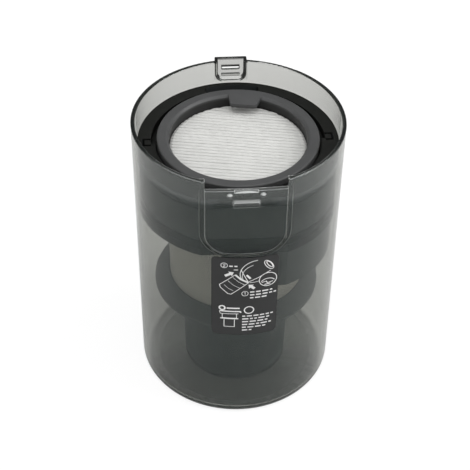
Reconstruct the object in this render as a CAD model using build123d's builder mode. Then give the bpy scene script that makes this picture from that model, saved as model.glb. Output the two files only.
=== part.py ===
from build123d import *

import os
from math import cos, hypot, radians, sin, sqrt

os.makedirs("parts", exist_ok=True)

# Dust cup and cyclone separator of a stick vacuum, in millimetres.
# The axis is +Z, the cup's foot stands on Z = 0 and the latch recess faces -Y.
# Angles around the axis are counted from the front (-Y) towards the right (+X).

# Dust cup: a drafted clear shell, open at the top
cup_height = 156.0
cup_top_radius = 52.0
cup_draft = 1.0
cup_wall = 2.0
cup_floor = 2.4
base_round = 5.0
foot_recess_radius = 42.0
foot_recess_depth = 0.6
rim_round = 0.5
edge_round = 0.5

# Latch recess: a panel set into the front wall, flat at the top and as round as the wall at the bottom
recess_half_width = 19.2
recess_height = 42.0
recess_corner = 10.0
recess_edge_depth = 1.0
panel_crown = 0.3
panel_drop = 6.0
catch_width = 13.4
catch_height = 4.2
catch_depth = 1.6
catch_corner = 1.5
catch_taper = 14.0
catch_drop = 12.8
bump_radius = 1.3
bump_spacing = 15.4
bump_drop = 8.5
lead_in_width = 11.0
lead_in_size = 1.2

# Hook tab: a bulge in the rear rim with a slot for the hook of the vacuum's body
tab_width = 16.4
tab_drop = 13.0
tab_proud = 2.4
tab_wall = 1.5
tab_corner = 5.0
tab_round = 0.7
tab_slot_width = 9.4
tab_slot_height = 1.8
tab_slot_drop = 6.0
tab_rib_depth = 1.2
tab_rib_drop = 9.4

# Label on the front wall, below the recess
label_width = 32.4
label_height = 52.0
label_gap = 1.6
label_glue = 0.05
label_thickness = 0.15
label_corner = 2.5

# Cyclone: stands on the cup's floor and slides out upwards past the latch panel
slide_clearance = 0.6
tube_seal_height = 2.6
tube_gap = 23.5
tube_draft = 1.0
tube_wall = 1.6
plate_thickness = 1.6
skirt_gap = 9.0
skirt_drop = 5.4
skirt_step = 2.8
skirt_wall = 1.4
screen_gap = 17.0
screen_wall = 0.5
screen_height = 46.6
cage_wall = 1.8
cage_band = 3.5
cage_rib_count = 6
cage_rib_width = 3.0

# Drum: carries the inlet scroll below its floor and the filter well inside
drum_height = 28.9
drum_wall = 1.4
drum_floor = 2.0
groove_height = 1.0
groove_depth = 0.7
seal_height = 8.8
seal_thickness = 1.3
seal_lip = 0.7
vent_radius = 0.9
vent_drop = 1.6
vent_angle = -65.0
scroll_depth = 23.0
scroll_gap = 1.0
scroll_start = -14.0
scroll_end = 198.0
scroll_end_wall = 2.0
port_half_angle = 15.0
port_gap = 0.2

# Small cones inside the screen, and the outlet tubes that hang into them
cone_count = 6
cone_inset = 17.0
cone_spacing = 0.8
cone_tip_radius = 3.8
cone_wall = 1.2
cone_straight = 20.0
cone_window_width = 4.0
cone_window_height = 9.0
outlet_radius = 4.2
outlet_wall = 1.0
outlet_length = 16.0
gasket_height = 1.2
screw_count = 3
screw_inset = 4.0
screw_radius = 1.25
screw_length = 11.0
screw_head_radius = 2.6
screw_head_height = 1.8
screw_gap = 0.2
screw_cross = 3.2
screw_cross_width = 0.7
screw_cross_depth = 1.0
screw_boss_radius = 2.6
screw_boss_height = 8.0

# Top ring: the flange under the rim with the well that the filter drops into
flange_drop = 12.4
flange_thickness = 5.1
well_wall = 1.4
well_gap = 0.5
well_step = 2.4
well_step_depth = 3.7
lip_thickness = 1.8
lip_gap = 1.0
snap_width = 6.0
snap_length = 4.2
snap_slot = 1.2

# Filter: a pleated disc in a frame with a pull tongue
frame_gap = 12.3
frame_height = 21.7
frame_proud = 2.4
frame_top_width = 4.6
frame_bevel = 1.2
frame_round = 0.8
frame_lip = 2.4
frame_lip_height = 1.4
media_inset = 6.0
media_gap = 0.2
media_sink = 6.2
pleat_pitch = 2.4
pleat_sheet = 3.0
tongue_width = 18.5
tongue_end_width = 13.0
tongue_reach = 9.2
tongue_thickness = 2.0
tongue_angle = 170.0
filter_gasket_height = 2.0
filter_gasket_width = 3.4
grid_bar_width = 2.0

# Places worked out from the sizes above
cup_base_radius = cup_top_radius - cup_draft
panel_face = sqrt(cup_top_radius**2 - recess_half_width**2) - recess_edge_depth
panel_back = panel_face - cup_wall
panel_top = cup_height - panel_drop
recess_bottom = cup_height - recess_height
recess_reach = cup_top_radius + cup_wall
tab_back = cup_top_radius + tab_proud

cyclone_flat = panel_back - slide_clearance
tube_top_radius = cup_top_radius - tube_gap
tube_bottom_radius = tube_top_radius - tube_draft
skirt_radius = cup_top_radius - skirt_gap
screen_radius = cup_top_radius - screen_gap
scroll_inner_radius = screen_radius + scroll_gap
cone_circle_radius = screen_radius - cone_inset
cone_top_radius = cone_circle_radius * sin(radians(180.0 / cone_count)) - cone_spacing / 2
screw_circle_radius = screen_radius - screw_inset
frame_radius = cup_top_radius - frame_gap
media_radius = frame_radius - media_inset
flange_top = cup_height - flange_drop
drum_top = flange_top - flange_thickness
drum_bottom = drum_top - drum_height
drum_floor_top = drum_bottom + drum_floor
cluster_top = drum_floor_top + plate_thickness
outlet_top = cluster_top + plate_thickness
screen_bottom = drum_bottom - screen_height
skirt_ledge = screen_bottom - plate_thickness
tube_plate_top = skirt_ledge - skirt_step
tube_top = tube_plate_top - plate_thickness
tube_bottom = cup_floor + tube_seal_height
cone_bottom = tube_top - 1.0

frame_top = flange_top + frame_proud
frame_bottom = frame_top - frame_height
well_floor_top = frame_bottom - filter_gasket_height
well_floor_bottom = well_floor_top - plate_thickness
well_radius = frame_radius + well_gap
well_outer_radius = well_radius + well_wall
media_top = frame_top - media_sink
media_bottom = frame_bottom + frame_lip_height


def cup_radius(height):
    """Outer radius of the drafted cup wall at a height."""
    return cup_base_radius + (cup_top_radius - cup_base_radius) * height / cup_height


# The widest outline that still slides past the cup wall and the latch panel
envelope_radius = cup_radius(drum_bottom) - cup_wall - slide_clearance + 0.2
port_inner_radius = well_outer_radius + port_gap
port_outer_radius = envelope_radius - seal_thickness - drum_wall
port_width = port_outer_radius - port_inner_radius
port_arc = CenterArc(
    (0, 0), (port_inner_radius + port_outer_radius) / 2, 90.0 - port_half_angle, 2 * port_half_angle
)
plate_radius = screen_radius + 2.0
screw_start = 180.0 / cone_count
floor_opening_radius = screen_radius - screen_wall - cage_wall


def radial_plane(angle):
    """Upright half-plane through the axis: local X is the radius and local Y the height."""
    turn = radians(angle - 90.0)
    return Plane(origin=(0, 0, 0), x_dir=(cos(turn), sin(turn), 0), z_dir=(sin(turn), -cos(turn), 0))


def ring_face(inner, outer, bottom, top):
    """Rectangle between two radii and two heights, for use in a radial plane."""
    with BuildSketch() as face:
        with Locations(((inner + outer) / 2, (bottom + top) / 2)):
            Rectangle(outer - inner, top - bottom)
    return face.sketch


def shield(half_width, bottom, top, corner):
    """Straight-sided outline with rounded lower corners."""
    with BuildSketch() as outline:
        with Locations((0, (bottom + top) / 2)):
            Rectangle(2 * half_width, top - bottom)
        fillet(outline.vertices().group_by(Axis.Y)[0], corner)
    return outline.sketch


def flat_round(inset):
    """The cyclone's outline: a circle with the flat that clears the latch panel, set in by a distance."""
    radius = envelope_radius - inset
    with BuildSketch() as outline:
        Circle(radius)
        with Locations((0, -(cyclone_flat - inset) - radius)):
            Rectangle(2 * radius, 2 * radius, mode=Mode.SUBTRACT)
    return outline.sketch


def wedge(start, end):
    """Sector between two angles around the axis, wide enough to reach past the cup."""
    with BuildSketch() as sector:
        with BuildLine():
            arc = CenterArc((0, 0), 2 * cup_top_radius, start - 90.0, end - start)
            Line((0, 0), arc @ 0)
            Line(arc @ 1, (0, 0))
        make_face()
    return sector.sketch


def panel_middle(height):
    """How far the middle of the panel's front stands from the axis at a height."""
    top = panel_face + panel_crown
    bottom = cup_radius(recess_bottom) - recess_edge_depth
    return top + (bottom - top) * (cup_height - height) / recess_height


def recess_space(inset):
    """The room in front of the latch panel, or of the panel's back when set in by the wall."""
    half = recess_half_width + 2 * cup_wall
    face = panel_face - inset
    low_radius = cup_radius(recess_bottom) - recess_edge_depth - inset
    sections = (
        (cup_height, face, face + panel_crown),
        (recess_bottom, sqrt(low_radius**2 - half**2), low_radius),
    )
    with BuildPart() as space:
        for height, side, middle in sections:
            with BuildSketch(Plane.XY.offset(height)):
                with BuildLine():
                    ThreePointArc((-half, -side), (0, -middle), (half, -side))
                    Polyline((half, -side), (half, -recess_reach), (-half, -recess_reach), (-half, -side))
                make_face()
        loft(ruled=True)
        extrude(space.faces().sort_by(Axis.Z)[-1], amount=2 * cup_wall)
        extrude(space.faces().sort_by(Axis.Z)[0], amount=inset + 0.01)
        with BuildSketch(Plane.XZ):
            add(
                shield(
                    recess_half_width + inset,
                    recess_bottom - inset,
                    cup_height + 2 * cup_wall,
                    recess_corner + inset,
                )
            )
        extrude(amount=recess_reach, mode=Mode.INTERSECT)
    return space.part


def cup_cavity():
    """The room inside the cup, which steps round the back of the latch panel and of the hook tab."""
    inner_round = base_round - cup_wall
    over = cup_height + cup_wall
    with BuildPart() as cavity:
        with BuildSketch(Plane.XZ) as profile:
            with BuildLine():
                Polyline(
                    (0, cup_floor),
                    (cup_radius(cup_floor) - cup_wall, cup_floor),
                    (cup_radius(over) - cup_wall, over),
                    (0, over),
                    close=True,
                )
            make_face()
            corner = profile.vertices().group_by(Axis.Y)[0].sort_by(Axis.X)[-1]
            fillet(corner, inner_round)
        revolve(axis=Axis.Z)
        add(recess_space(cup_wall), mode=Mode.SUBTRACT)
    return cavity.part


def on_cup_wall(edge, inset):
    """True for an edge that lies on the cup's drafted outer wall, set in by a distance."""
    middle = edge @ 0.5
    return abs(hypot(middle.X, middle.Y) + inset - cup_radius(middle.Z)) < 0.05


def on_recess_rim(edge):
    """True for an edge between the cup's outer wall and the latch recess."""
    middle = edge.center()
    return on_cup_wall(edge, 0.0) and middle.Y < 0 and abs(middle.X) < recess_half_width + edge_round


def on_pocket_rim(edge):
    """True for an edge between the cup's inner wall and the pocket of the hook tab."""
    return on_cup_wall(edge, cup_wall) and edge.center().Y > 0


with BuildPart() as dust_cup:
    with BuildSketch(Plane.XZ) as profile:
        with BuildLine():
            Polyline(
                (0, 0),
                (cup_base_radius, 0),
                (cup_top_radius, cup_height),
                (0, cup_height),
                close=True,
            )
        make_face()
        fillet(profile.vertices().group_by(Axis.Y)[0].sort_by(Axis.X)[-1], base_round)
        fillet(profile.vertices().group_by(Axis.Y)[-1].sort_by(Axis.X)[-1], rim_round)
    revolve(axis=Axis.Z)
    # Bulge of the hook tab
    with BuildSketch(Plane.XZ.offset(-tab_back)):
        add(shield(tab_width / 2, cup_height - tab_drop, cup_height, tab_corner))
    extrude(amount=tab_proud + cup_wall)
    tab_rim = dust_cup.edges(Select.LAST).filter_by(lambda edge: edge.center().Y > tab_back - 0.01)
    fillet(tab_rim.filter_by(lambda edge: edge.center().Z < cup_height), tab_round)
    # Latch recess in the front wall
    add(recess_space(0.0), mode=Mode.SUBTRACT)
    fillet(dust_cup.edges(Select.LAST).filter_by(on_recess_rim).sort_by(Axis.X), edge_round)
    add(cup_cavity(), mode=Mode.SUBTRACT)
    # Pocket behind the hook tab, with a slot through its back and a rib below the slot
    with BuildSketch(Plane.XZ.offset(-tab_back + tab_wall)):
        add(
            shield(
                tab_width / 2 - tab_wall,
                cup_height - tab_drop + tab_wall,
                cup_height + tab_wall,
                tab_corner - tab_wall,
            )
        )
    extrude(amount=tab_proud + cup_wall, mode=Mode.SUBTRACT)
    fillet(dust_cup.edges(Select.LAST).filter_by(on_pocket_rim).sort_by(Axis.X), tab_round)
    with BuildSketch(Plane.XZ.offset(-tab_back)):
        with Locations((0, cup_height - tab_slot_drop)):
            SlotOverall(tab_slot_width, tab_slot_height)
    extrude(amount=tab_wall, mode=Mode.SUBTRACT)
    with Locations((0, tab_back - tab_wall - tab_rib_depth / 2, cup_height - tab_rib_drop)):
        Box(tab_slot_width, tab_rib_depth, tab_rib_depth)
    # The panel stops short of the rim
    with BuildSketch(Plane.XZ.offset(panel_back - cup_wall)):
        with Locations((0, panel_top + recess_height / 2)):
            Rectangle(2 * recess_half_width, recess_height)
    extrude(amount=recess_reach, mode=Mode.SUBTRACT)
    # Catch, guide bumps and lead-in for the latch
    catch_height_up = cup_height - catch_drop
    catch_face = panel_middle(catch_height_up) + catch_depth
    with BuildSketch(Plane.XZ.offset(panel_face)):
        with Locations((0, catch_height_up)):
            RectangleRounded(catch_width, catch_height, catch_corner)
    extrude(amount=catch_face - panel_face, taper=catch_taper)
    bump_face = panel_middle(cup_height - bump_drop)
    with Locations(
        (-bump_spacing / 2, -bump_face, cup_height - bump_drop),
        (bump_spacing / 2, -bump_face, cup_height - bump_drop),
    ):
        Sphere(bump_radius)
    lead_in_face = panel_middle(panel_top)
    with BuildSketch(Plane.YZ.offset(-lead_in_width / 2)):
        with BuildLine():
            Polyline(
                (-lead_in_face, panel_top),
                (-lead_in_face, panel_top - lead_in_size),
                (-lead_in_face + lead_in_size, panel_top),
                close=True,
            )
        make_face()
    extrude(amount=lead_in_width, mode=Mode.SUBTRACT)
    # Shallow recess that leaves a foot ring
    with BuildSketch():
        Circle(foot_recess_radius)
    extrude(amount=foot_recess_depth, mode=Mode.SUBTRACT)
dust_cup.part.label = "dust_cup"
export_step(dust_cup.part, "parts/dust_cup.step")


with BuildPart() as cup_label:
    label_top = recess_bottom - label_gap
    label_bottom = label_top - label_height
    label_proud = label_glue + label_thickness
    with BuildSketch(Plane.XZ):
        with BuildLine():
            Polyline(
                (cup_radius(label_bottom) + label_glue, label_bottom),
                (cup_radius(label_bottom) + label_proud, label_bottom),
                (cup_radius(label_top) + label_proud, label_top),
                (cup_radius(label_top) + label_glue, label_top),
                close=True,
            )
        make_face()
    revolve(axis=Axis.Z)
    with BuildSketch(Plane.XZ):
        with Locations((0, (label_top + label_bottom) / 2)):
            RectangleRounded(label_width, label_height, label_corner)
    extrude(amount=2 * cup_top_radius, mode=Mode.INTERSECT)
cup_label.part.label = "cup_label"
export_step(cup_label.part, "parts/cup_label.step")


with BuildPart() as tube_seal:
    with BuildSketch(Plane.XY.offset(cup_floor)):
        Circle(tube_bottom_radius)
        Circle(tube_bottom_radius - 2 * tube_wall, mode=Mode.SUBTRACT)
    extrude(amount=tube_seal_height)
    chamfer(tube_seal.edges().group_by(Axis.Z)[-1].sort_by(SortBy.RADIUS)[-1], tube_wall / 3)
tube_seal.part.label = "tube_seal"
export_step(tube_seal.part, "parts/tube_seal.step")


with BuildPart() as dust_tube:
    with BuildSketch(Plane.XZ):
        with BuildLine():
            Polyline(
                (tube_bottom_radius - tube_wall, tube_bottom),
                (tube_bottom_radius, tube_bottom),
                (tube_top_radius, tube_top),
                (screen_radius - well_gap, tube_top),
                (screen_radius - well_gap, tube_plate_top),
                (0, tube_plate_top),
                (0, tube_top),
                (tube_top_radius - tube_wall, tube_top),
                close=True,
            )
        make_face()
    revolve(axis=Axis.Z)
    with BuildSketch(Plane.XY.offset(tube_top)):
        with PolarLocations(cone_circle_radius, cone_count):
            Circle(cone_tip_radius + 1.0)
    extrude(amount=plate_thickness, mode=Mode.SUBTRACT)
dust_tube.part.label = "dust_tube"
export_step(dust_tube.part, "parts/dust_tube.step")


with BuildPart() as skirt:
    collar_radius = screen_radius + skirt_wall
    with BuildSketch(Plane.XZ):
        with BuildLine():
            Polyline(
                (screen_radius - plate_thickness, skirt_ledge),
                (screen_radius - plate_thickness, screen_bottom),
                (screen_radius + 0.6, screen_bottom),
                (skirt_radius, screen_bottom - skirt_drop),
                (skirt_radius, screen_bottom - skirt_drop - skirt_wall),
                (collar_radius, screen_bottom - 2 * skirt_wall),
                (collar_radius, tube_top),
                (screen_radius, tube_top),
                (screen_radius, skirt_ledge),
                close=True,
            )
        make_face()
    revolve(axis=Axis.Z)
skirt.part.label = "skirt"
export_step(skirt.part, "parts/skirt.step")


with BuildPart() as screen:
    with BuildSketch(Plane.XY.offset(screen_bottom)):
        Circle(screen_radius)
        Circle(screen_radius - screen_wall, mode=Mode.SUBTRACT)
    extrude(amount=screen_height)
screen.part.label = "screen"
export_step(screen.part, "parts/screen.step")


with BuildPart() as screen_cage:
    cage_radius = screen_radius - screen_wall
    with BuildSketch(Plane.XY.offset(screen_bottom)) as band:
        Circle(cage_radius)
        Circle(cage_radius - cage_wall, mode=Mode.SUBTRACT)
    extrude(amount=cage_band)
    with BuildSketch(Plane.XY.offset(drum_bottom)):
        add(band.sketch.moved(Location((0, 0, drum_bottom - screen_bottom))))
    extrude(amount=-cage_band)
    with BuildSketch(Plane.XY.offset(screen_bottom)):
        with PolarLocations(cage_radius - cage_wall / 2, cage_rib_count):
            Rectangle(2 * cage_wall, cage_rib_width)
        Circle(cage_radius - cage_wall, mode=Mode.SUBTRACT)
        with BuildSketch(mode=Mode.INTERSECT):
            Circle(cage_radius)
    extrude(amount=screen_height)
    # Bosses for the screws that clamp the plates and the drum's floor
    with BuildSketch(Plane.XY.offset(drum_bottom)):
        with PolarLocations(screw_circle_radius, screw_count, start_angle=screw_start):
            Circle(screw_boss_radius)
    extrude(amount=-screw_boss_height)
    with BuildSketch(Plane.XY.offset(drum_bottom)):
        with PolarLocations(screw_circle_radius, screw_count, start_angle=screw_start):
            Circle(screw_radius + screw_gap / 4)
    extrude(amount=-screw_boss_height, mode=Mode.SUBTRACT)
screen_cage.part.label = "screen_cage"
export_step(screen_cage.part, "parts/screen_cage.step")


with BuildPart() as drum:
    seat_inset = seal_thickness
    wall_inset = seal_lip
    # Lower band, set in for the seal, and the full-width wall above it
    with BuildSketch(Plane.XY.offset(drum_bottom)):
        add(flat_round(seat_inset))
    extrude(amount=seal_height)
    with BuildSketch(Plane.XY.offset(drum_bottom + seal_height)):
        add(flat_round(wall_inset))
    extrude(amount=drum_height - seal_height - groove_height)
    with BuildSketch(Plane.XY.offset(drum_top)):
        add(flat_round(wall_inset + groove_depth))
    extrude(amount=-groove_height)
    with BuildSketch(Plane.XY.offset(drum_floor_top)):
        add(flat_round(seat_inset + drum_wall))
    extrude(amount=drum_height, mode=Mode.SUBTRACT)
    with BuildSketch(Plane.XY.offset(drum_bottom + seal_height + drum_wall)):
        add(flat_round(wall_inset + drum_wall))
    extrude(amount=drum_height, mode=Mode.SUBTRACT)
    # Inlet scroll: a trough below the floor that turns the air round the screen
    scroll_bottom = drum_bottom - scroll_depth
    with BuildSketch(Plane.XY.offset(scroll_bottom)):
        add(flat_round(seat_inset))
        Circle(scroll_inner_radius, mode=Mode.SUBTRACT)
        add(wedge(scroll_start, scroll_end + scroll_end_wall), mode=Mode.INTERSECT)
    extrude(amount=scroll_depth)
    with BuildSketch(Plane.XY.offset(scroll_bottom + drum_wall)):
        add(flat_round(seat_inset + drum_wall))
        Circle(scroll_inner_radius + drum_wall, mode=Mode.SUBTRACT)
        add(wedge(scroll_start, scroll_end), mode=Mode.INTERSECT)
    extrude(amount=scroll_depth - drum_wall, mode=Mode.SUBTRACT)
    # Opening for the screen's inside and port for the inlet air
    with BuildSketch(Plane.XY.offset(drum_bottom)):
        Circle(floor_opening_radius)
    extrude(amount=drum_floor, mode=Mode.SUBTRACT)
    with BuildSketch(Plane.XY.offset(drum_bottom)):
        SlotArc(port_arc, port_width)
    extrude(amount=drum_floor, mode=Mode.SUBTRACT)
drum.part.label = "drum"
export_step(drum.part, "parts/drum.step")


with BuildPart() as drum_seal:
    with BuildSketch(Plane.XY.offset(drum_bottom)):
        add(flat_round(0.0))
        add(flat_round(seal_thickness), mode=Mode.SUBTRACT)
    extrude(amount=seal_height / 2)
    with BuildSketch(Plane.XY.offset(drum_bottom + seal_height / 2)):
        add(flat_round(seal_lip / 2))
        add(flat_round(seal_thickness), mode=Mode.SUBTRACT)
    extrude(amount=seal_height / 2)
    # Small vent on the left
    vent_turn = radians(vent_angle - 90.0)
    vent_plane = Plane(
        origin=(0, 0, drum_bottom + seal_height - vent_drop),
        x_dir=(0, 0, 1),
        z_dir=(cos(vent_turn), sin(vent_turn), 0),
    )
    with BuildSketch(vent_plane):
        Circle(vent_radius)
    extrude(amount=2 * envelope_radius, mode=Mode.SUBTRACT)
drum_seal.part.label = "drum_seal"
export_step(drum_seal.part, "parts/drum_seal.step")


with BuildPart() as cone_cluster:
    straight_bottom = drum_floor_top - cone_straight
    with BuildSketch(Plane.XY.offset(drum_floor_top)):
        Circle(plate_radius)
    extrude(amount=plate_thickness)
    with PolarLocations(cone_circle_radius, cone_count):
        with Locations((0, 0, straight_bottom)):
            Cylinder(cone_top_radius, cone_straight, align=(Align.CENTER, Align.CENTER, Align.MIN))
        with Locations((0, 0, cone_bottom)):
            Cone(
                cone_tip_radius,
                cone_top_radius,
                straight_bottom - cone_bottom,
                align=(Align.CENTER, Align.CENTER, Align.MIN),
            )
    with PolarLocations(cone_circle_radius, cone_count):
        with Locations((0, 0, straight_bottom)):
            Cylinder(
                cone_top_radius - cone_wall,
                cluster_top - straight_bottom,
                align=(Align.CENTER, Align.CENTER, Align.MIN),
                mode=Mode.SUBTRACT,
            )
        with Locations((0, 0, cone_bottom)):
            Cone(
                cone_tip_radius - cone_wall,
                cone_top_radius - cone_wall,
                straight_bottom - cone_bottom,
                align=(Align.CENTER, Align.CENTER, Align.MIN),
                mode=Mode.SUBTRACT,
            )
        # Window on the outer side, off centre so that the air enters along the wall
        window_side = cone_top_radius - cone_wall - cone_window_width / 2
        with Locations((cone_top_radius, window_side, straight_bottom + cone_straight / 2)):
            Box(2 * cone_top_radius, cone_window_width, cone_window_height, mode=Mode.SUBTRACT)
    with BuildSketch(Plane.XY.offset(drum_floor_top)):
        with PolarLocations(screw_circle_radius, screw_count, start_angle=screw_start):
            Circle(screw_radius + screw_gap)
    extrude(amount=plate_thickness, mode=Mode.SUBTRACT)
cone_cluster.part.label = "cone_cluster"
export_step(cone_cluster.part, "parts/cone_cluster.step")


with BuildPart() as outlet_plate:
    with BuildSketch(Plane.XY.offset(cluster_top)):
        Circle(plate_radius)
    extrude(amount=plate_thickness)
    with PolarLocations(cone_circle_radius, cone_count):
        with Locations((0, 0, cluster_top - outlet_length)):
            Cylinder(outlet_radius, outlet_length, align=(Align.CENTER, Align.CENTER, Align.MIN))
    with PolarLocations(cone_circle_radius, cone_count):
        with Locations((0, 0, cluster_top - outlet_length)):
            Cylinder(
                outlet_radius - outlet_wall,
                outlet_length + plate_thickness,
                align=(Align.CENTER, Align.CENTER, Align.MIN),
                mode=Mode.SUBTRACT,
            )
    with BuildSketch(Plane.XY.offset(cluster_top)):
        with PolarLocations(screw_circle_radius, screw_count, start_angle=screw_start):
            Circle(screw_radius + screw_gap)
    extrude(amount=plate_thickness, mode=Mode.SUBTRACT)
outlet_plate.part.label = "outlet_plate"
export_step(outlet_plate.part, "parts/outlet_plate.step")


# Screws through both plates into the cage
for index in range(screw_count):
    turn = radians(screw_start + index * 360.0 / screw_count)
    seat = Plane.XY.offset(outlet_top).move(
        Location((screw_circle_radius * cos(turn), screw_circle_radius * sin(turn), 0))
    )
    with BuildPart() as plate_screw:
        with BuildSketch(seat):
            Circle(screw_head_radius)
        extrude(amount=screw_head_height)
        chamfer(plate_screw.edges().group_by(Axis.Z)[-1], screw_head_height / 4)
        with BuildSketch(seat):
            Circle(screw_radius)
        extrude(amount=-screw_length)
        with BuildSketch(seat.offset(screw_head_height)):
            Rectangle(screw_cross, screw_cross_width)
            Rectangle(screw_cross_width, screw_cross)
        extrude(amount=-screw_cross_depth, mode=Mode.SUBTRACT)
    plate_screw.part.label = f"plate_screw_{index + 1}"
    export_step(plate_screw.part, f"parts/plate_screw_{index + 1}.step")


with BuildPart() as outlet_gasket:
    with BuildSketch(Plane.XY.offset(outlet_top)):
        Circle(plate_radius)
        Circle(plate_radius - well_wall, mode=Mode.SUBTRACT)
    extrude(amount=gasket_height)
outlet_gasket.part.label = "outlet_gasket"
export_step(outlet_gasket.part, "parts/outlet_gasket.step")


with BuildPart() as top_ring:
    flange_inset = 0.1
    flange_step = flange_top - well_step_depth
    # Flange on the drum's edge, with a spigot inside the drum's wall
    with BuildSketch(Plane.XY.offset(drum_top)):
        add(flat_round(flange_inset))
    extrude(amount=flange_thickness)
    with BuildSketch(Plane.XY.offset(drum_top)):
        add(flat_round(seal_lip + drum_wall + 0.2))
        add(flat_round(seal_lip + 2 * drum_wall + 0.2), mode=Mode.SUBTRACT)
    extrude(amount=-flange_thickness)
    # Well for the filter, and the collar that presses on the outlet plate's gasket
    with BuildSketch(Plane.XY.offset(well_floor_bottom)):
        Circle(well_outer_radius)
    extrude(amount=drum_top - well_floor_bottom)
    with BuildSketch(Plane.XY.offset(well_floor_bottom)):
        Circle(plate_radius)
        Circle(plate_radius - well_wall, mode=Mode.SUBTRACT)
    extrude(amount=outlet_top + gasket_height - well_floor_bottom)
    with BuildSketch(Plane.XY.offset(well_floor_bottom)):
        Circle(plate_radius - well_wall)
    extrude(amount=plate_thickness, mode=Mode.SUBTRACT)
    with BuildSketch(Plane.XY.offset(well_floor_top)):
        Circle(well_radius)
    extrude(amount=frame_height, mode=Mode.SUBTRACT)
    with BuildSketch(Plane.XY.offset(flange_step)):
        Circle(well_radius + well_step)
    extrude(amount=frame_height, mode=Mode.SUBTRACT)
    # Half lip on the front side, which narrows the gap round the filter
    with BuildSketch(radial_plane(-88.0)):
        add(
            ring_face(
                frame_radius + lip_gap,
                well_radius + well_step,
                flange_top - lip_thickness,
                flange_top,
            )
        )
    revolve(axis=Axis.Z, revolution_arc=176.0)
    # Two snap fingers, each freed by a slot on three sides
    finger_radius = well_radius + well_step + snap_length / 2
    with BuildSketch(Plane.XY.offset(flange_top)):
        for side in (-1, 1):
            with Locations((side * finger_radius, 0)):
                Rectangle(snap_length, snap_width)
            with Locations((side * (finger_radius - snap_slot), 0)):
                Rectangle(snap_length, snap_width - 2 * snap_slot, mode=Mode.SUBTRACT)
    extrude(amount=-flange_thickness, mode=Mode.SUBTRACT)
    # Port for the inlet air, at the back
    with BuildSketch(Plane.XY.offset(drum_top - flange_thickness)):
        SlotArc(port_arc, port_width)
    extrude(amount=2 * flange_thickness, mode=Mode.SUBTRACT)
top_ring.part.label = "top_ring"
export_step(top_ring.part, "parts/top_ring.step")


with BuildPart() as filter_gasket:
    with BuildSketch(Plane.XY.offset(well_floor_top)):
        Circle(frame_radius)
        Circle(frame_radius - filter_gasket_width, mode=Mode.SUBTRACT)
    extrude(amount=filter_gasket_height)
filter_gasket.part.label = "filter_gasket"
export_step(filter_gasket.part, "parts/filter_gasket.step")


with BuildPart() as filter_frame:
    bore_radius = media_radius + media_gap
    with BuildSketch(Plane.XZ) as profile:
        with BuildLine():
            Polyline(
                (bore_radius - frame_lip, frame_bottom),
                (frame_radius, frame_bottom),
                (frame_radius, frame_top),
                (frame_radius - frame_top_width, frame_top),
                (bore_radius, frame_top - frame_bevel),
                (bore_radius, media_bottom),
                (bore_radius - frame_lip, media_bottom),
                close=True,
            )
        make_face()
        fillet(profile.vertices().group_by(Axis.Y)[-1], frame_round)
    revolve(axis=Axis.Z)
    # Bars that hold the pleats up
    with BuildSketch(Plane.XY.offset(frame_bottom)):
        Rectangle(2 * bore_radius, grid_bar_width)
        Rectangle(grid_bar_width, 2 * bore_radius)
    extrude(amount=frame_lip_height)
    # Pull tongue, level with the frame's top face
    tongue_turn = radians(tongue_angle - 90.0)
    tongue_plane = Plane(
        origin=(0, 0, frame_top - tongue_thickness),
        x_dir=(sin(tongue_turn), -cos(tongue_turn), 0),
        z_dir=(0, 0, 1),
    )
    tongue_root = frame_radius - frame_top_width / 2
    tongue_tip = frame_radius - frame_top_width - tongue_reach
    with BuildSketch(tongue_plane) as tongue:
        with BuildLine():
            Polyline(
                (-tongue_width / 2, tongue_root),
                (tongue_width / 2, tongue_root),
                (tongue_end_width / 2, tongue_tip),
                (-tongue_end_width / 2, tongue_tip),
                close=True,
            )
        make_face()
        fillet(tongue.vertices().group_by(Axis.Y)[0], tongue_thickness)
    extrude(amount=tongue_thickness)
filter_frame.part.label = "filter_frame"
export_step(filter_frame.part, "parts/filter_frame.step")


with BuildPart() as filter_media:
    pleat_count = int(2 * media_radius / pleat_pitch)
    pleat_depth = media_top - media_bottom - pleat_sheet
    pleat_start = -pleat_count * pleat_pitch / 2
    crests = []
    for fold in range(2 * pleat_count + 1):
        valley = fold % 2 == 0
        crests.append((pleat_start + fold * pleat_pitch / 2, media_top - (pleat_depth if valley else 0.0)))
    troughs = [(across, height - pleat_sheet) for across, height in reversed(crests)]
    with BuildSketch(Plane.YZ.offset(-media_radius)):
        with BuildLine():
            Polyline(*crests, *troughs, close=True)
        make_face()
    extrude(amount=2 * media_radius)
    with BuildSketch(Plane.XY.offset(media_bottom)):
        Circle(media_radius)
    extrude(amount=media_top - media_bottom, mode=Mode.INTERSECT)
filter_media.part.label = "filter_media"
export_step(filter_media.part, "parts/filter_media.step")
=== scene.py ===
"""Looks of a vacuum dust cup with a lift-out cyclone and a pleated filter, on a white floor."""

import math
import random
from functools import cache, reduce

import bmesh
import bpy
from mathutils import Matrix, Vector, noise


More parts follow.
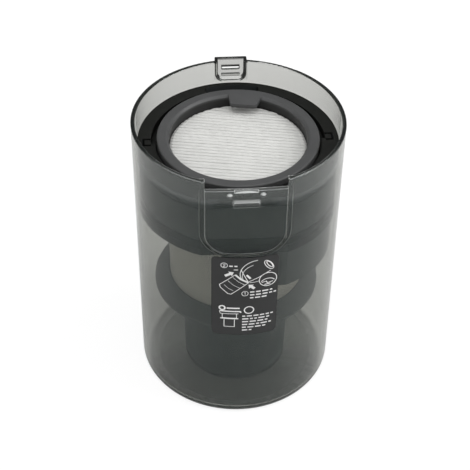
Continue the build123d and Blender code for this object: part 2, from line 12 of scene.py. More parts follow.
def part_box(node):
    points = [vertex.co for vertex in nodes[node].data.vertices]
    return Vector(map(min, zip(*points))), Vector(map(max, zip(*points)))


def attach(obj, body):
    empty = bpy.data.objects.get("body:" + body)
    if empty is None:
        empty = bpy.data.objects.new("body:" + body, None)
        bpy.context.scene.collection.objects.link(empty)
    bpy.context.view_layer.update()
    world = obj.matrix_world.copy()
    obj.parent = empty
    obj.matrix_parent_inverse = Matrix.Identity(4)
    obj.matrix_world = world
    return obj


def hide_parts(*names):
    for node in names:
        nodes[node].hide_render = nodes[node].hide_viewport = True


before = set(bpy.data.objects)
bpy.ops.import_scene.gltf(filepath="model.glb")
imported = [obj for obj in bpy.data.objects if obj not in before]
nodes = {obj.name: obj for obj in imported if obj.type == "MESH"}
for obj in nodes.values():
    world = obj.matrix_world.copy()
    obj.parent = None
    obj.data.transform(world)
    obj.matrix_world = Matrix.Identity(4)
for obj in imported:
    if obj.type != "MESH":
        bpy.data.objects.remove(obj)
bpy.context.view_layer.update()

MM = 0.001

# Camera, fitted to the outline of the cup in the photograph: pixels, metres and degrees
PHOTO_SIZE = 470
SENSOR_MM = 36.0
FOCAL_PIXELS = 1227.26
IMAGE_SHIFT = (1.45, 5.25)
CAMERA_TARGET = Vector((0.0, 0.0, 0.078))
CAMERA_DISTANCE = 0.64162
CAMERA_AZIMUTH = -5.1
CAMERA_ELEVATION = 41.34
CAMERA_ROLL = 1.018
CAMERA_NEAR = 0.01

# Surroundings and floor: how far each kind of ray sees them as pure white, then light and metres
WORLD_SEEN = {"Is Camera Ray": 1.0, "Is Glossy Ray": 0.05, "Is Transmission Ray": 0.2}
FLOOR_GLOW = {"Is Camera Ray": 0.8, "Is Glossy Ray": 0.05, "Is Transmission Ray": 0.02}
FAR_GLOW = {"Is Camera Ray": 1.0, "Is Glossy Ray": 0.05, "Is Transmission Ray": 1.0}
WORLD_LIGHT = 0.4
GLOW_STRENGTH = 1.1
FLOOR_HALF = 3.0
FAR_FROM_CUP = (("radius", 0.12, 0.4),)

# Lamps: name, place in metres, size in metres and watts
LAMPS = (
    ("left", (-1.0, -0.2, 0.8), 0.8, 3.2),
    ("right", (1.0, -0.2, 0.8), 0.8, 9.0),
    ("top", (0.0, -0.3, 1.6), 1.4, 7.2),
    ("spark", (-0.15, -0.45, 1.3), 0.2, 1.6),
)

# Sizes that the new pieces and the finishes share with the solids
CUP_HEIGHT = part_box("dust_cup")[1].z
CUP_DRAFT = 1.0 * MM / CUP_HEIGHT
PANEL_TOP_Y = -47.6 * MM
PANEL_LEAN = 3.1 / 42.0
SCREEN_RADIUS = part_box("screen")[1].x
MEDIA_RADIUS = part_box("filter_media")[1].x
PLEAT_PITCH = 2.4 * MM

# Pleats: their turn in degrees, sizes, and shares of half a pitch
PLEAT_TURN = -10.6
PLEAT_SHEET = 0.3 * MM
PLEAT_CELLS = 40
PLEAT_BELOW_TOP = 0.2 * MM
PLEAT_SHORTEST = 1.0 * MM
CREST_SHARE = 0.9
CREST_DROP = 0.4 * MM
CREST_STEPS = 6
SLIT_TOP_SHARE = 0.935
SLIT_TOP_DROP = 1.2 * MM
SLIT_FOOT_SHARE = 0.95
SLIT_FOOT_RISE = 0.5 * MM
UNEVEN_DEPTH = 2.0 * MM

# Unevenness of the paper: amount, scale along a pleat, step from pleat to pleat, plane of the noise
WAVER = (0.06 * MM, 55.0, 3.7, 1.0)
SAG = (0.12 * MM, 40.0, 0.9, 5.0)

# Label print: height of the ink in metres; widths and lengths in millimetres on the label
INK_PROUD = 0.04 * MM
PEN = 0.38
THIN_PEN = 0.26
SAME_PLACE = 1e-6
SHARPEST_MITRE = 0.4
OVAL_STEP_DEGREES = 12
OVAL_LEAST_STEPS = 8
ARROW_NECK = 0.6
ARROW_TIP = 0.02
WORD_LENGTHS = (1.2, 3.2)
WORD_SHORTEST = 0.5
WORD_GAP = 0.75
LINE_PITCH = 1.95
NUMBER_RADIUS = 1.55

# Colours
WHITE = (1.0, 1.0, 1.0)
FLOOR_WHITE = (0.84, 0.84, 0.84)
SMOKE_TINT = (0.5, 0.51, 0.47)
SMOKE_GLINT = (0.46, 0.55, 0.54)
SMOKE_SHADOW = (0.7, 0.7, 0.7)
# Painted light and painted shade, mixed into the clear plastic
PAINTED_LIGHT_WHITE = (0.78, 0.8, 0.79)
PAINTED_SHADE_DARK = (0.012, 0.012, 0.012)
BLACK_GREY = (0.008, 0.0085, 0.0075)
PAINTED_LIGHT_GREY = (0.08, 0.088, 0.092)
PAINTED_SHADE_GREY = (0.001, 0.001, 0.001)
DRUM_GREY = (0.077, 0.085, 0.086)
DARK_GREY = (0.036, 0.043, 0.044)
FRAME_GREY = (0.062, 0.063, 0.064)
FRAME_SHADE_GREY = (0.01, 0.01, 0.01)
LABEL_GREY = (0.016, 0.0165, 0.0165)
INK_WHITE = (0.84, 0.84, 0.83)
RUBBER_GREY = (0.028, 0.03, 0.03)
PAPER_WHITES = ((0.62, 0.62, 0.603), (0.67, 0.67, 0.652))
ZINC_GREYS = ((0.5, 0.5, 0.48), (0.66, 0.66, 0.65))
SCREEN_HOLE = (0.1, 0.095, 0.085)
SCREEN_SHEET = (0.79, 0.765, 0.7)

# Finishes: height of the grain, and how far tone and roughness vary
MOULD_GRAIN = 0.0015 * MM
FILM_GRAIN = 0.0005 * MM
CLOUDING = (0.9, 1.1)
BLOOM = (0.85, 1.25)
POLISH_SPREAD = 0.04

# Clear plastic: depth of its tint, and shares of painted highlight and painted shade in it
SMOKE_DENSITY = 420.0
PLASTIC_IOR = 1.5
EDGE_WIDTH = 0.5 * MM
EDGE_BEND = (0.99, 0.8)
EDGE_SAMPLES = 8
EDGE_LIGHT = 0.75
RIM_LIGHT = 0.22
CATCH_LIGHT = 0.3
CATCH_SIDE_SHARE = 0.06
BUMP_LIGHT = 0.55
LEAD_IN_LIGHT = 0.17
MOUTH_PAINTED_LIGHT = 0.075
TAB_DARK = 0.85
TAB_CREST_DARK = 0.6
TAB_SHADE = 0.08
CUP_FLOOR_SHADE = 0.36

# Zones of a surface. Each row is a measure, where the zone has no effect and where it has all.
# Places are in metres in the part's frame, drop is below the cup's top, and facing is a part of
# the surface's normal.
# Painted light: the black ring's outer wall, behind the cup's wall below the rim, is made lighter
# grey
PAINTED_LIGHT_WALL = (("radius", 46.0 * MM, 47.5 * MM), ("facing z", 0.5, 0.2))
# Painted shade: the ring's front lip, in the gap behind the latch panel, is made near black
SHADED_LIP = (("y", -33.0 * MM, -36.0 * MM), ("facing z", 0.3, 0.7))
# Painted shade: the frame's inner wall, low down beside the paper, is made near black
SHADED_INNER_WALL = (("radius", 35.6 * MM, 35.0 * MM), ("drop", 10.6 * MM, 13.0 * MM))
# Black ring: painted light on its outer wall, painted shade on its front lip
RING_ZONES = ((PAINTED_LIGHT_WALL, PAINTED_LIGHT_GREY), (SHADED_LIP, PAINTED_SHADE_GREY))
FRAME_ZONES = ((SHADED_INNER_WALL, FRAME_SHADE_GREY),)
CUP_FRONT = (("y", -20.0 * MM, -46.0 * MM),)
RECESS = (("drop", 46.0 * MM, 43.0 * MM),)
RIM = (("drop", 0.8 * MM, 0.4 * MM), ("facing z", 1.02, 0.9))
CATCH = (
    ("proud", 0.1 * MM, 0.4 * MM),
    ("aside", 9.8 * MM, 9.4 * MM),
    ("drop", 18.0 * MM, 17.0 * MM),
)
CATCH_TOPS = (("facing z", 0.15, 0.6),)
BUMPS = (("drop", 10.5 * MM, 10.0 * MM),)
LEAD_IN = (
    ("aside", 5.6 * MM, 5.4 * MM),
    ("drop", 7.4 * MM, 7.2 * MM),
    ("facing z", 0.3, 0.6),
    ("facing z", 0.98, 0.85),
)
MOUTH = (("drop", 14.0 * MM, 12.0 * MM), ("drop", 0.8 * MM, 1.2 * MM))
TAB = (("aside", 8.8 * MM, 8.4 * MM), ("y", 44.0 * MM, 46.0 * MM), ("drop", 15.0 * MM, 14.0 * MM))
TAB_SIDES = (("facing aside", 0.55, 0.8),)
TAB_FOOT = (("aside", 5.5 * MM, 4.5 * MM), ("drop", 10.0 * MM, 11.0 * MM))
TAB_LINTEL = (
    ("aside", 4.9 * MM, 4.6 * MM),
    ("drop", 5.4 * MM, 5.2 * MM),
    ("drop", 4.2 * MM, 4.5 * MM),
    ("facing y", -0.3, -0.7),
)
TAB_CREST = (("drop", 1.1 * MM, 0.7 * MM),)
TAB_UPPER = (("drop", 11.5 * MM, 10.5 * MM),)
# Painted shade on the cup's floor, towards the front
SHADED_CUP_FLOOR = (("z", 5.0 * MM, 3.0 * MM), ("facing z", 0.3, 0.8), ("y", 10.0 * MM, -25.0 * MM))


def link(thing):
    """Puts an object into the scene."""
    bpy.context.scene.collection.objects.link(thing)


def add_camera():
    """Camera at the photograph's viewing angle."""
    azimuth = math.radians(CAMERA_AZIMUTH)
    elevation = math.radians(CAMERA_ELEVATION)
    roll = math.radians(CAMERA_ROLL)
    back = Vector(
        (
            math.sin(azimuth) * math.cos(elevation),
            -math.cos(azimuth) * math.cos(elevation),
            math.sin(elevation),
        )
    )
    right = Vector((math.cos(azimuth), math.sin(azimuth), 0.0))
    up = back.cross(right)
    turned_right = math.cos(roll) * right + math.sin(roll) * up
    turned_up = math.cos(roll) * up - math.sin(roll) * right
    data = bpy.data.cameras.new("camera")
    data.sensor_width = SENSOR_MM
    data.lens = SENSOR_MM * FOCAL_PIXELS / PHOTO_SIZE
    data.shift_x = -IMAGE_SHIFT[0] / PHOTO_SIZE
    data.shift_y = IMAGE_SHIFT[1] / PHOTO_SIZE
    data.clip_start = CAMERA_NEAR
    camera = bpy.data.objects.new("camera", data)
    link(camera)
    turn = Matrix((turned_right, turned_up, back)).transposed().to_4x4()
    camera.matrix_world = Matrix.Translation(CAMERA_TARGET + back * CAMERA_DISTANCE) @ turn
    bpy.context.scene.camera = camera


class Nodes:
    """Short hand for building the node tree of a material or of the world."""

    def __init__(self, owner, output="ShaderNodeOutputMaterial"):
        owner.use_nodes = True
        self.tree = owner.node_tree
        self.tree.nodes.clear()
        self.output = self.add(output)

    def add(self, kind, inputs=None, **settings):
        """New node. Its inputs, by name or position, are numbers, colours or sockets."""
        node = self.tree.nodes.new(kind)
        for key, value in settings.items():
            setattr(node, key, value)
        for key, value in (inputs or {}).items():
            self.feed(node.inputs[key], value)
        return node

    def feed(self, socket, value):
        """Links a socket to another one, or sets it to a number or a colour."""
        if isinstance(value, bpy.types.NodeSocket):
            self.tree.links.new(value, socket)
        elif socket.type == "RGBA":
            socket.default_value = (*value, 1.0)
        else:
            socket.default_value = value

    def cover(self, inputs):
        """Puts one principled shader on the whole surface."""
        shader = self.add("ShaderNodeBsdfPrincipled", inputs)
        self.feed(self.output.inputs["Surface"], shader.outputs["BSDF"])

    def place(self):
        """Place in the part's own frame, in metres."""
        return self.add("ShaderNodeTexCoord").outputs["Object"]

    def facing(self):
        """Which way the surface faces."""
        return self.add("ShaderNodeNewGeometry").outputs["Normal"]

    @cache
    def measure(self, name):
        """One number about the surface: where it lies, or part of the way it faces."""
        if name == "radius":
            x, y = self.measure("x"), self.measure("y")
            return self.math("SQRT", self.math("MULTIPLY_ADD", x, x, self.math("MULTIPLY", y, y)))
        if name == "drop":
            return self.math("SUBTRACT", CUP_HEIGHT, self.measure("z"))
        if name == "proud":
            # How far it stands in front of the leaning latch panel
            panel = self.math("MULTIPLY_ADD", self.measure("drop"), -PANEL_LEAN, PANEL_TOP_Y)
            return self.math("SUBTRACT", panel, self.measure("y"))
        if name.endswith("aside"):
            return self.math("ABSOLUTE", self.measure(name.replace("aside", "x")))
        vector = self.facing() if name.startswith("facing") else self.place()
        return self.add("ShaderNodeSeparateXYZ", {"Vector": vector}).outputs[name[-1].upper()]

    def noise(self, scale, detail=2.0, roughness=0.5):
        """Noise with about one blob per 1/scale metres."""
        inputs = {"Vector": self.place(), "Scale": scale, "Detail": detail, "Roughness": roughness}
        return self.add("ShaderNodeTexNoise", inputs).outputs["Fac"]

    def ramp(self, source, low, high, start=0.3, end=0.7):
        """Goes from one number or colour to another between two values of the source."""
        if isinstance(low, tuple):
            node = self.add("ShaderNodeValToRGB", {"Fac": source})
            ends = ((start, low), (end, high))
            for element, (position, colour) in zip(node.color_ramp.elements, ends):
                element.position = position
                element.color = (*colour, 1.0)
            return node.outputs["Color"]
        limits = {"From Min": start, "From Max": end, "To Min": low, "To Max": high}
        return self.add("ShaderNodeMapRange", {"Value": source, **limits}).outputs["Result"]

    def fade(self, value, start, end):
        """0 at the start, 1 at the end and smooth between them."""
        inputs = {"Value": value, "From Min": start, "From Max": end}
        node = self.add("ShaderNodeMapRange", inputs, interpolation_type="SMOOTHSTEP")
        return node.outputs["Result"]

    def math(self, operation, *values):
        """One sum on sockets or plain numbers."""
        node = self.add("ShaderNodeMath", dict(enumerate(values)), operation=operation)
        return node.outputs["Value"]

    def fold(self, operation, *values):
        """The same sum carried on through all the values."""
        return reduce(lambda total, value: self.math(operation, total, value), values)

    def zone(self, limits, *shares):
        """How far the surface lies in a zone, times any further shares."""
        fades = [self.fade(self.measure(name), start, end) for name, start, end in limits]
        return self.fold("MULTIPLY", *fades, *shares)

    def between(self, share, low, high):
        """A number that goes from low to high as the share goes from 0 to 1."""
        return self.math("MULTIPLY_ADD", share, high - low, low)

    def blend(self, share, low, high):
        """Goes from one colour to another. The node's colours are its inputs 6 and 7."""
        inputs = {"Factor": share, 6: low, 7: high}
        return self.add("ShaderNodeMix", inputs, data_type="RGBA").outputs[2]

    def over(self, share, below, above):
        """One shader laid over another."""
        return self.add("ShaderNodeMixShader", {0: share, 1: below, 2: above}).outputs["Shader"]

    def bump(self, height, distance, strength=1.0):
        """The way a surface with small ups and downs faces."""
        inputs = {"Height": height, "Distance": distance, "Strength": strength}
        return self.add("ShaderNodeBump", inputs).outputs["Normal"]

    def ray_weight(self, weights):
        """Sum of the weights of the kinds of ray that apply."""
        path = self.add("ShaderNodeLightPath")
        total = 0.0
        for kind, weight in weights.items():
            total = self.math("MULTIPLY_ADD", path.outputs[kind], weight, total)
        return total


def shades(colour, factors):
    """A colour made darker and made lighter."""
    return [tuple(channel * factor for channel in colour) for factor in factors]


def moulded_plastic(name, colour, roughness, specular=0.4, grain=MOULD_GRAIN, zones=()):
    """Moulded plastic: spark-eroded grain, faint cloudy variation and zones of another tone, where
    painted light and painted shade go.
    """
    material = bpy.data.materials.new(name)
    m = Nodes(material)
    cloudy = m.noise(60.0, detail=4.0)
    tone = m.ramp(cloudy, *shades(colour, CLOUDING))
    for limits, other in zones:
        tone = m.blend(m.zone(limits), tone, m.ramp(cloudy, *shades(other, CLOUDING)))
    polish = m.noise(180.0, detail=3.0)
    m.cover(
        {
            "Base Color": tone,
            "Roughness": m.ramp(polish, roughness - POLISH_SPREAD, roughness + POLISH_SPREAD),
            "Specular IOR Level": specular,
            "Normal": m.bump(m.noise(4000.0, detail=1.0), grain),
        }
    )
    return material


def wall_edge(m):
    """Edges of the clear plastic, found by how far a rounding would turn the surface."""
    rounded = m.add("ShaderNodeBevel", {"Radius": EDGE_WIDTH}, samples=EDGE_SAMPLES)
    both = {0: rounded.outputs["Normal"], 1: m.facing()}
    bend = m.add("ShaderNodeVectorMath", both, operation="DOT_PRODUCT")
    return m.fade(bend.outputs["Value"], *EDGE_BEND)


def edge_light(m, edge):
    """How far painted highlights, a lit white diffuse, show in the clear plastic."""
    catch_tops = m.between(m.zone(CATCH_TOPS), CATCH_SIDE_SHARE, 1.0)
    catch_light = m.between(m.zone(BUMPS), CATCH_LIGHT, BUMP_LIGHT)
    # Painted highlights on the front: the recess's edges, the rim's edge, the catch with its upward
    # faces lightest, the bumps and the lead-in
    front = m.fold(
        "ADD",
        m.zone(RECESS, edge, EDGE_LIGHT),
        m.zone(RIM, RIM_LIGHT),
        m.zone(CATCH, catch_tops, catch_light),
        m.zone(LEAD_IN, LEAD_IN_LIGHT),
    )
    # Painted light: a faint lighter band all round the mouth
    return m.math("MULTIPLY_ADD", m.zone(MOUTH), MOUTH_PAINTED_LIGHT, m.zone(CUP_FRONT, front))


def edge_dark(m, edge):
    """How far painted shade, a dark diffuse, shows in the clear plastic."""
    # Rear tab: painted shade, as a dark outline except along the middle of its foot, a dark line
    # above its slot, a dark band along its crest and a faint shade over its upper part
    line = m.fold("MAXIMUM", edge, m.zone(TAB_SIDES), m.zone(TAB_LINTEL))
    outline = m.fold("MULTIPLY", line, m.math("SUBTRACT", 1.0, m.zone(TAB_FOOT)), TAB_DARK)
    crest = m.zone(TAB_CREST, TAB_CREST_DARK)
    shade = m.zone(TAB_UPPER, TAB_SHADE)
    tab = m.zone(TAB, m.fold("MAXIMUM", outline, crest, shade))
    # Painted shade on the cup's floor, darker towards the front
    return m.math("ADD", tab, m.zone(SHADED_CUP_FLOOR, CUP_FLOOR_SHADE))


def smoke_plastic(name):
    """Clear smoke plastic: the tint is in the depth of the wall, and lamps shine through it."""
    material = bpy.data.materials.new(name)
    m = Nodes(material)
    clear = m.add(
        "ShaderNodeBsdfPrincipled",
        {
            "Base Color": WHITE,
            "Transmission Weight": 1.0,
            "IOR": PLASTIC_IOR,
            "Specular Tint": SMOKE_GLINT,
            "Roughness": m.ramp(m.noise(45.0, detail=4.0), 0.015, 0.045),
        },
    )
    # Lit white and dark diffuse, laid over the clear plastic as painted light and painted shade
    lit = m.add("ShaderNodeBsdfDiffuse", {"Color": PAINTED_LIGHT_WHITE})
    dark = m.add("ShaderNodeBsdfDiffuse", {"Color": PAINTED_SHADE_DARK})
    edge = wall_edge(m)
    surface = m.over(edge_light(m, edge), clear.outputs["BSDF"], lit.outputs["BSDF"])
    surface = m.over(edge_dark(m, edge), surface, dark.outputs["BSDF"])
    shadow = m.add("ShaderNodeBsdfTransparent", {"Color": SMOKE_SHADOW})
    in_shadow = m.add("ShaderNodeLightPath").outputs["Is Shadow Ray"]
    m.feed(m.output.inputs["Surface"], m.over(in_shadow, surface, shadow.outputs["BSDF"]))
    tint = m.add("ShaderNodeVolumeAbsorption", {"Color": SMOKE_TINT, "Density": SMOKE_DENSITY})
    m.feed(m.output.inputs["Volume"], tint.outputs["Volume"])
    return material


def paper(name):
    """Pleated filter paper: white, matte and fibrous."""
    material = bpy.data.materials.new(name)
    m = Nodes(material)
    fibres = m.noise(2500.0, detail=5.0, roughness=0.7)
    m.cover(
        {
            "Base Color": m.ramp(m.noise(90.0, detail=5.0), *PAPER_WHITES),
            "Roughness": 0.9,
            "Specular IOR Level": 0.2,
            "Normal": m.bump(fibres, 0.05 * MM),
        }
    )
    return material


def screen_steel(name):
    """Fine perforated steel: rows of small dark holes in a warm grey sheet."""
    material = bpy.data.materials.new(name)
    m = Nodes(material)
    # The sheet unrolled: distance round the axis, and height
    turn = m.math("ARCTAN2", m.measure("y"), m.measure("x"))
    unrolled = {"X": m.math("MULTIPLY", turn, SCREEN_RADIUS), "Y": m.measure("z")}
    sheet = m.add("ShaderNodeCombineXYZ", unrolled).outputs["Vector"]
    grid = {"Vector": sheet, "Scale": 1500.0, "Randomness": 0.2}
    holes = m.add("ShaderNodeTexVoronoi", grid, voronoi_dimensions="2D")
    metal = m.ramp(holes.outputs["Distance"], 0.0, 1.0, start=0.2, end=0.5)
    m.cover(
        {
            "Base Color": m.ramp(metal, SCREEN_HOLE, SCREEN_SHEET, start=0.0, end=1.0),
            "Metallic": 0.5,
            "Roughness": 0.5,
            "Normal": m.bump(metal, 0.02 * MM, strength=0.5),
        }
    )
    return material


def rubber(name):
    """Soft matte rubber with a dusty bloom."""
    material = bpy.data.materials.new(name)
    m = Nodes(material)
    m.cover(
        {
            "Base Color": m.ramp(m.noise(140.0, detail=4.0), *shades(RUBBER_GREY, BLOOM)),
            "Roughness": m.ramp(m.noise(300.0), 0.6, 0.75),
            "Specular IOR Level": 0.3,
            "Normal": m.bump(m.noise(3000.0), 0.006 * MM),
        }
    )
    return material


def plated_steel(name):
    """Zinc-plated screw steel."""
    material = bpy.data.materials.new(name)
    m = Nodes(material)
    m.cover(
        {
            "Base Color": m.ramp(m.noise(900.0, detail=3.0), *ZINC_GREYS),
            "Metallic": 1.0,
            "Roughness": m.ramp(m.noise(1500.0), 0.25, 0.4),
        }
    )
    return material


SMOKE = smoke_plastic("smoke_clear_plastic")
BLACK = moulded_plastic("black_plastic", BLACK_GREY, 0.5, specular=0.18, zones=RING_ZONES)
DRUM = moulded_plastic("drum_plastic", DRUM_GREY, 0.5)
DARK = moulded_plastic("dark_plastic", DARK_GREY, 0.5)
FRAME = moulded_plastic("frame_plastic", FRAME_GREY, 0.45, zones=FRAME_ZONES)
LABEL = moulded_plastic("label_film", LABEL_GREY, 0.45, specular=0.35, grain=FILM_GRAIN)
INK = moulded_plastic("label_ink", INK_WHITE, 0.55, grain=FILM_GRAIN)
RUBBER = rubber("rubber")
SCREEN = screen_steel("screen_steel")
PAPER = paper("filter_paper")
STEEL = plated_steel("screw_steel")

NODE_MATERIALS = {
    "dust_cup": SMOKE,
    "cup_label": LABEL,
    "tube_seal": RUBBER,
    "dust_tube": DARK,
    "skirt": DRUM,
    "screen": SCREEN,
    "screen_cage": DARK,
    "drum": DRUM,
    "drum_seal": RUBBER,
    "cone_cluster": DARK,
    "outlet_plate": DARK,
    "outlet_gasket": RUBBER,
    "plate_screw_1": STEEL,
    "plate_screw_2": STEEL,
    "plate_screw_3": STEEL,
    "top_ring": BLACK,
    "filter_frame": FRAME,
    "filter_media": PAPER,
    "filter_gasket": RUBBER,
}


def dress_nodes():
    """Gives every solid its material."""
    for name, material in NODE_MATERIALS.items():
        mesh = nodes[name].data
        mesh.materials.clear()
        mesh.materials.append(material)


def new_piece(name, bm, material, body):
    """Turns a finished mesh into a piece that rides on a body."""
    mesh = bpy.data.meshes.new(name)
    bm.to_mesh(mesh)
    bm.free()
    mesh.materials.append(material)
    piece = bpy.data.objects.new(name, mesh)
    link(piece)
    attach(piece, body)
    return piece


def pleat_profile(depth):
    """Half of a pleat as (step from its crest, drop below it): a round crest, then a slit."""
    half = PLEAT_PITCH / 2
    points = []
    for k in range(CREST_STEPS + 1):
        angle = math.radians(90.0 * k / CREST_STEPS)
        points.append((CREST_SHARE * half * math.sin(angle), CREST_DROP * (1 - math.cos(angle))))
    points.append((SLIT_TOP_SHARE * half, SLIT_TOP_DROP))
    points.append((SLIT_FOOT_SHARE * half, depth - SLIT_FOOT_RISE))
    points.append((half, depth))
    return points


def uneven(x, pleat, amount, scale, step, plane):
    """How far the paper strays at one place along a pleat."""
    return amount * noise.noise(Vector((x * scale, pleat * step, plane)))


def add_media():
    """Pleated paper: a sheet folded over rounded crests, wavering a little along each pleat."""
    low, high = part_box("filter_media")
    pleats = int(2 * MEDIA_RADIUS / PLEAT_PITCH)
    first = -(pleats - 1) * PLEAT_PITCH / 2
    profile = pleat_profile((high.z - low.z) - 2 * PLEAT_SHEET)
    folds = [(-step, drop) for step, drop in reversed(profile[1:])] + profile[:-1]
    bm = bmesh.new()
    rows = []
    for pleat in range(pleats):
        crest_y = first + pleat * PLEAT_PITCH
        last_fold = [profile[-1]] if pleat == pleats - 1 else []
        for step, drop in folds + last_fold:
            y = crest_y + step
            z = high.z - PLEAT_BELOW_TOP - drop
            half = math.sqrt(max(MEDIA_RADIUS**2 - y**2, PLEAT_SHORTEST**2))
            near_top = max(0.0, 1 - drop / UNEVEN_DEPTH)
            row = []
            for j in range(PLEAT_CELLS + 1):
                x = half * (2 * j / PLEAT_CELLS - 1)
                waver = near_top * uneven(x, pleat, *WAVER)
                sag = near_top * uneven(x, pleat, *SAG)
                row.append(bm.verts.new((x, y + waver, z + sag)))
            rows.append(row)
    for a, b in zip(rows, rows[1:]):
        for j in range(PLEAT_CELLS):
            bm.faces.new((a[j], a[j + 1], b[j + 1], b[j]))
    turn = Matrix.Rotation(math.radians(PLEAT_TURN), 3, "Z")
    bmesh.ops.rotate(bm, verts=bm.verts, cent=(0.0, 0.0, 0.0), matrix=turn)
    bm.normal_update()
    piece = new_piece("filter_pleats", bm, PAPER, "filter")
    piece.data.shade_smooth()
    sheet = piece.modifiers.new("sheet", "SOLIDIFY")
    sheet.thickness = PLEAT_SHEET
    sheet.offset = -1.0
    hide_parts("filter_media")


class Print:
    """White print on the label. Places are in millimetres right of its middle and below its top."""

    def __init__(self):
        self.low, self.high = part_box("cup_label")
        self.bm = bmesh.new()

    def vert(self, place):
        """A point on the label's curved face, a hair in front of it."""
        across, drop = place[0] * MM, place[1] * MM
        radius = -self.low.y - CUP_DRAFT * drop + INK_PROUD
        return self.bm.verts.new((across, -math.sqrt(radius**2 - across**2), self.high.z - drop))

    def ribbon(self, points, widths):
        """Strip of ink along a line of points, with mitred corners and a width at each point."""
        places = [Vector(p) for p in points]
        closed = (places[0] - places[-1]).length < SAME_PLACE
        last = len(places) - 1
        sides = []
        for k, place in enumerate(places):
            before = places[-2] if closed and k == 0 else places[max(k - 1, 0)]
            after = places[1] if closed and k == last else places[min(k + 1, last)]
            steps = (place - before, after - place)
            ahead = [step.normalized() for step in steps if step.length > SAME_PLACE]
            along = sum(ahead, Vector((0.0, 0.0))).normalized()
            stretch = 1.0 / max(SHARPEST_MITRE, along.dot(ahead[0]))
            offset = Vector((-along.y, along.x)) * (widths[k] / 2 * stretch)
            sides.append((self.vert(place + offset), self.vert(place - offset)))
        for (a, b), (c, d) in zip(sides, sides[1:]):
            self.bm.faces.new((a, b, d, c))

    def line(self, *points, width=PEN):
        """Line through corner points, cut up so that it follows the label's curve."""
        fine = []
        for (ax, ay), (bx, by) in zip(points, points[1:]):
            cuts = max(1, math.ceil(math.dist((ax, ay), (bx, by))))
            fine += [(ax + (bx - ax) * k / cuts, ay + (by - ay) * k / cuts) for k in range(cuts)]
        fine.append(points[-1])
        self.ribbon(fine, [width] * len(fine))

    def oval(self, centre, radii, tilt=0.0, start=0.0, end=360.0, width=PEN):
        """Oval, or a stretch of one."""
        steps = max(OVAL_LEAST_STEPS, int(abs(end - start) / OVAL_STEP_DEGREES))
        cos, sin = math.cos(math.radians(tilt)), math.sin(math.radians(tilt))
        points = []
        for k in range(steps + 1):
            angle = math.radians(start + (end - start) * k / steps)
            a, b = radii[0] * math.cos(angle), radii[1] * math.sin(angle)
            points.append((centre[0] + a * cos - b * sin, centre[1] + a * sin + b * cos))
        self.ribbon(points, [width] * len(points))

    def arrow(self, tail, tip, width=1.5, head=3.4):
        """Filled arrow."""
        tail, tip = Vector(tail), Vector(tip)
        neck = tip + (tail - tip).normalized() * head * ARROW_NECK
        self.ribbon([tail, (tail + neck) / 2, neck], [width] * 3)
        self.ribbon([neck, (neck + tip) / 2, tip], [head, head / 2, ARROW_TIP])

    def words(self, left, down, length, seed, height=0.8):
        """Bars of uneven length in place of a line of small text."""
        spacing = random.Random(seed)
        at = left
        while at < left + length:
            word = min(spacing.uniform(*WORD_LENGTHS), left + length - at)
            if word > WORD_SHORTEST:
                self.line((at, down), (at + word, down), width=height)
            at += word + WORD_GAP

    def number(self, centre, digit):
        """Plain 1 or 2 in a circle."""
        x, y = centre
        self.oval(centre, (NUMBER_RADIUS, NUMBER_RADIUS), width=0.3)
        if digit == 1:
            strokes = ((x - 0.45, y - 0.45), (x + 0.1, y - 0.85), (x + 0.1, y + 0.85))
        else:
            self.oval((x, y - 0.35), (0.5, 0.5), start=180.0, end=360.0, width=THIN_PEN)
            strokes = ((x + 0.5, y - 0.35), (x - 0.5, y + 0.8), (x + 0.6, y + 0.8))
        self.line(*strokes, width=THIN_PEN)

    def finish(self):
        """Turns the strips into a piece that rides on the cup."""
        bmesh.ops.recalc_face_normals(self.bm, faces=self.bm.faces)
        new_piece("label_marks", self.bm, INK, "cup")


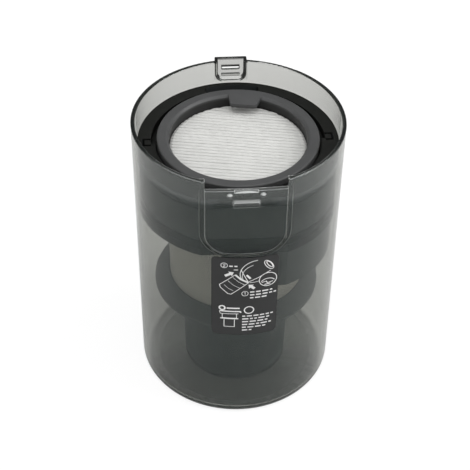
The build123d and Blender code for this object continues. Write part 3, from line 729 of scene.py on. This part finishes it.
def add_label_print():
    """Generic picture of a cup that goes onto a vacuum's body, with bars in place of text."""
    ink = Print()
    # The vacuum's body, lying at a slant
    ink.oval((5.6, 9.6), (8.4, 7.4), tilt=-28.0, start=176.0, end=296.0)
    ink.oval((5.4, 11.4), (7.0, 6.6), tilt=-28.0, start=186.0, end=282.0, width=0.3)
    ink.line((-2.2, 7.4), (-1.4, 9.4), (1.4, 15.8), (6.6, 13.2), (12.2, 9.8))
    ink.oval((11.4, 5.9), (3.5, 1.5), tilt=56.0)
    ink.oval((11.7, 5.6), (2.5, 0.8), tilt=56.0, width=0.45)
    ink.line((0.6, 11.1), (2.5, 13.6), width=1.1)
    # The cup below it
    ink.line((-4.9, 10.8), (-12.4, 17.8), (-11.9, 19.6), (-8.4, 23.4), (-6.8, 23.8), (1.6, 16.2))
    ink.line((-4.9, 10.8), (-2.2, 13.8), (1.6, 16.2), width=0.95)
    ink.line((-6.0, 12.6), (-3.4, 15.4), (0.0, 17.7), width=0.22)
    ink.line((-8.4, 14.8), (-5.8, 17.6), (-2.4, 19.8), width=0.22)
    ink.line((-10.2, 17.6), (-8.0, 20.0), (-5.8, 21.4), width=0.22)
    # Close look at the latch
    ink.oval((11.1, 15.4), (4.3, 4.3), width=0.42)
    ink.line((2.0, 16.2), (4.4, 16.2), (6.8, 15.6), width=0.28)
    ink.oval((11.1, 17.4), (3.4, 2.6), start=200.0, end=340.0, width=0.42)
    ink.line((8.0, 17.0), (10.4, 16.6), (10.8, 17.8), (13.6, 17.2), width=0.4)
    ink.line((9.4, 18.6), (12.4, 18.4), width=0.5)
    # Two steps
    ink.arrow((-9.8, 11.8), (-5.6, 9.2))
    ink.arrow((4.6, 20.4), (1.6, 17.6))
    ink.number((-10.2, 5.0), 2)
    ink.words(-7.8, 5.3, 3.9, seed=3)
    ink.words(-5.6, 7.6, 2.0, seed=5, height=0.5)
    ink.number((0.0, 23.4), 1)
    for row, length in enumerate((11.0, 13.0, 8.2)):
        ink.words(2.5, 22.6 + LINE_PITCH * row, length, seed=11 + row)
    # A cyclone on its own, with a plain ring and a block of text beside it
    ink.oval((-11.0, 33.4), (1.35, 1.35), width=0.8)
    ink.line((-8.8, 33.4), (-2.4, 33.4), width=0.85)
    ink.line((-12.2, 35.6), (-2.2, 35.6), (-1.8, 36.4), width=0.8)
    ink.line((-12.3, 35.9), (-11.8, 37.4), (-3.0, 37.2), width=0.35)
    ink.line((-10.9, 37.4), (-10.9, 40.2), (-3.9, 40.2), (-3.9, 37.2), width=0.35)
    ink.line((-11.9, 40.6), (-3.0, 40.6), width=0.7)
    ink.line((-10.0, 41.2), (-10.0, 46.2), (-4.9, 46.2), (-4.9, 41.2), width=0.35)
    ink.oval((2.2, 34.8), (2.3, 2.3), width=0.6)
    for row, length in enumerate((15.4, 14.6, 13.8, 14.6, 12.2, 4.8)):
        ink.words(-1.1, 38.9 + LINE_PITCH * row, length, seed=21 + row)
    ink.finish()


def add_surroundings():
    """White all round, dimmer as light than as it is seen."""
    world = bpy.data.worlds.new("studio")
    bpy.context.scene.world = world
    m = Nodes(world, "ShaderNodeOutputWorld")
    lit = m.add("ShaderNodeBackground", {"Color": WHITE, "Strength": WORLD_LIGHT})
    seen = m.add("ShaderNodeBackground", {"Color": WHITE, "Strength": 1.0})
    share = m.ray_weight(WORLD_SEEN)
    both = m.over(share, lit.outputs["Background"], seen.outputs["Background"])
    m.feed(m.output.inputs["Surface"], both)


def add_floor():
    """White floor that takes a soft shadow near the cup and fades out farther off."""
    mesh = bpy.data.meshes.new("floor")
    corners = [(x * FLOOR_HALF, y * FLOOR_HALF, 0) for x, y in ((-1, -1), (1, -1), (1, 1), (-1, 1))]
    mesh.from_pydata(corners, [], [(0, 1, 2, 3)])
    floor = bpy.data.objects.new("floor", mesh)
    link(floor)
    material = bpy.data.materials.new("white_floor")
    m = Nodes(material)
    plain = m.add("ShaderNodeBsdfDiffuse", {"Color": FLOOR_WHITE})
    glow = m.add("ShaderNodeEmission", {"Strength": GLOW_STRENGTH})
    far = m.zone(FAR_FROM_CUP, m.ray_weight(FAR_GLOW))
    share = m.math("MAXIMUM", m.ray_weight(FLOOR_GLOW), far)
    both = m.over(share, plain.outputs["BSDF"], glow.outputs["Emission"])
    m.feed(m.output.inputs["Surface"], both)
    mesh.materials.append(material)


def add_lamps():
    """Square soft boxes that face the cup."""
    for name, place, size, watts in LAMPS:
        data = bpy.data.lights.new(name, "AREA")
        data.size = size
        data.energy = watts
        lamp = bpy.data.objects.new(name, data)
        link(lamp)
        lamp.visible_transmission = False
        lamp.location = place
        lamp.rotation_euler = (CAMERA_TARGET - lamp.location).to_track_quat("-Z", "Y").to_euler()


dress_nodes()
add_media()
add_label_print()
add_surroundings()
add_floor()
add_lamps()
add_camera()
bpy.context.scene.view_settings.view_transform = "Standard"
